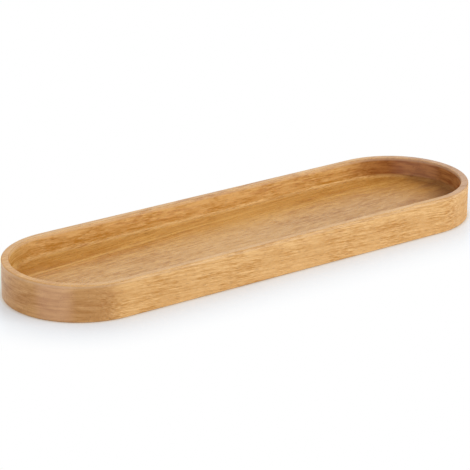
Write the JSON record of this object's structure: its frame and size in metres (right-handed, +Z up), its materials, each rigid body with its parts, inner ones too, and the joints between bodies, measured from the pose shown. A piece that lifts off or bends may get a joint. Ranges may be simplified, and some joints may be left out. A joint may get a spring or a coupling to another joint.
{
  "type": "pepper mill tray",
  "caption": "Long, low wooden tray with round ends and a routed pocket that keeps pepper and salt mills together and catches what falls from them.",
  "frame": {"origin": "middle of the flat underside, on the surface that the tray stands on", "axes": "+X along the tray's length and the wood's grain, +Y across to the back wall, +Z up out of the pocket"},
  "size_m": [0.35, 0.1, 0.024],
  "materials": {
    "oiled_acacia": "fine-sanded acacia, oiled to a satin sheen"
  },
  "bodies": {
    "root": {"front_stave": "oiled_acacia", "middle_stave": "oiled_acacia", "back_stave": "oiled_acacia"}
  },
  "joints": []
}
